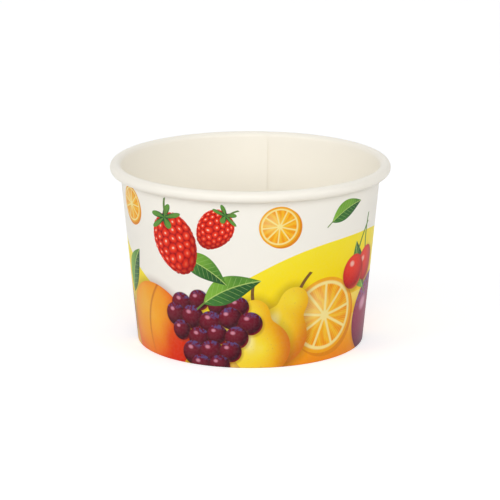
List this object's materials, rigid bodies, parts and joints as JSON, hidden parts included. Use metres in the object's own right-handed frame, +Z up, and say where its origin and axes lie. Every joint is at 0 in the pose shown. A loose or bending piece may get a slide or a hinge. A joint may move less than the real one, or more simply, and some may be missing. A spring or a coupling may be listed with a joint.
{
  "type": "paper dessert cup",
  "caption": "Round paper cup for ice cream or dessert, with a tapered wall, rolled rim, lapped side seam and recessed bottom, printed outside with fruit.",
  "frame": {"origin": "centre of the base, on the surface that the cup stands on", "axes": "+Z up along the cup's axis, through the open top; the side seam is at the back, towards +Y"},
  "size_m": [0.075, 0.075, 0.0488],
  "materials": {
    "printed_board": "semi-gloss coated board, printed outside and plain white inside and on the rim",
    "white_board": "semi-gloss coated white board"
  },
  "bodies": {
    "root": {"side_wall": "printed_board", "bottom_disc": "white_board"}
  },
  "joints": []
}
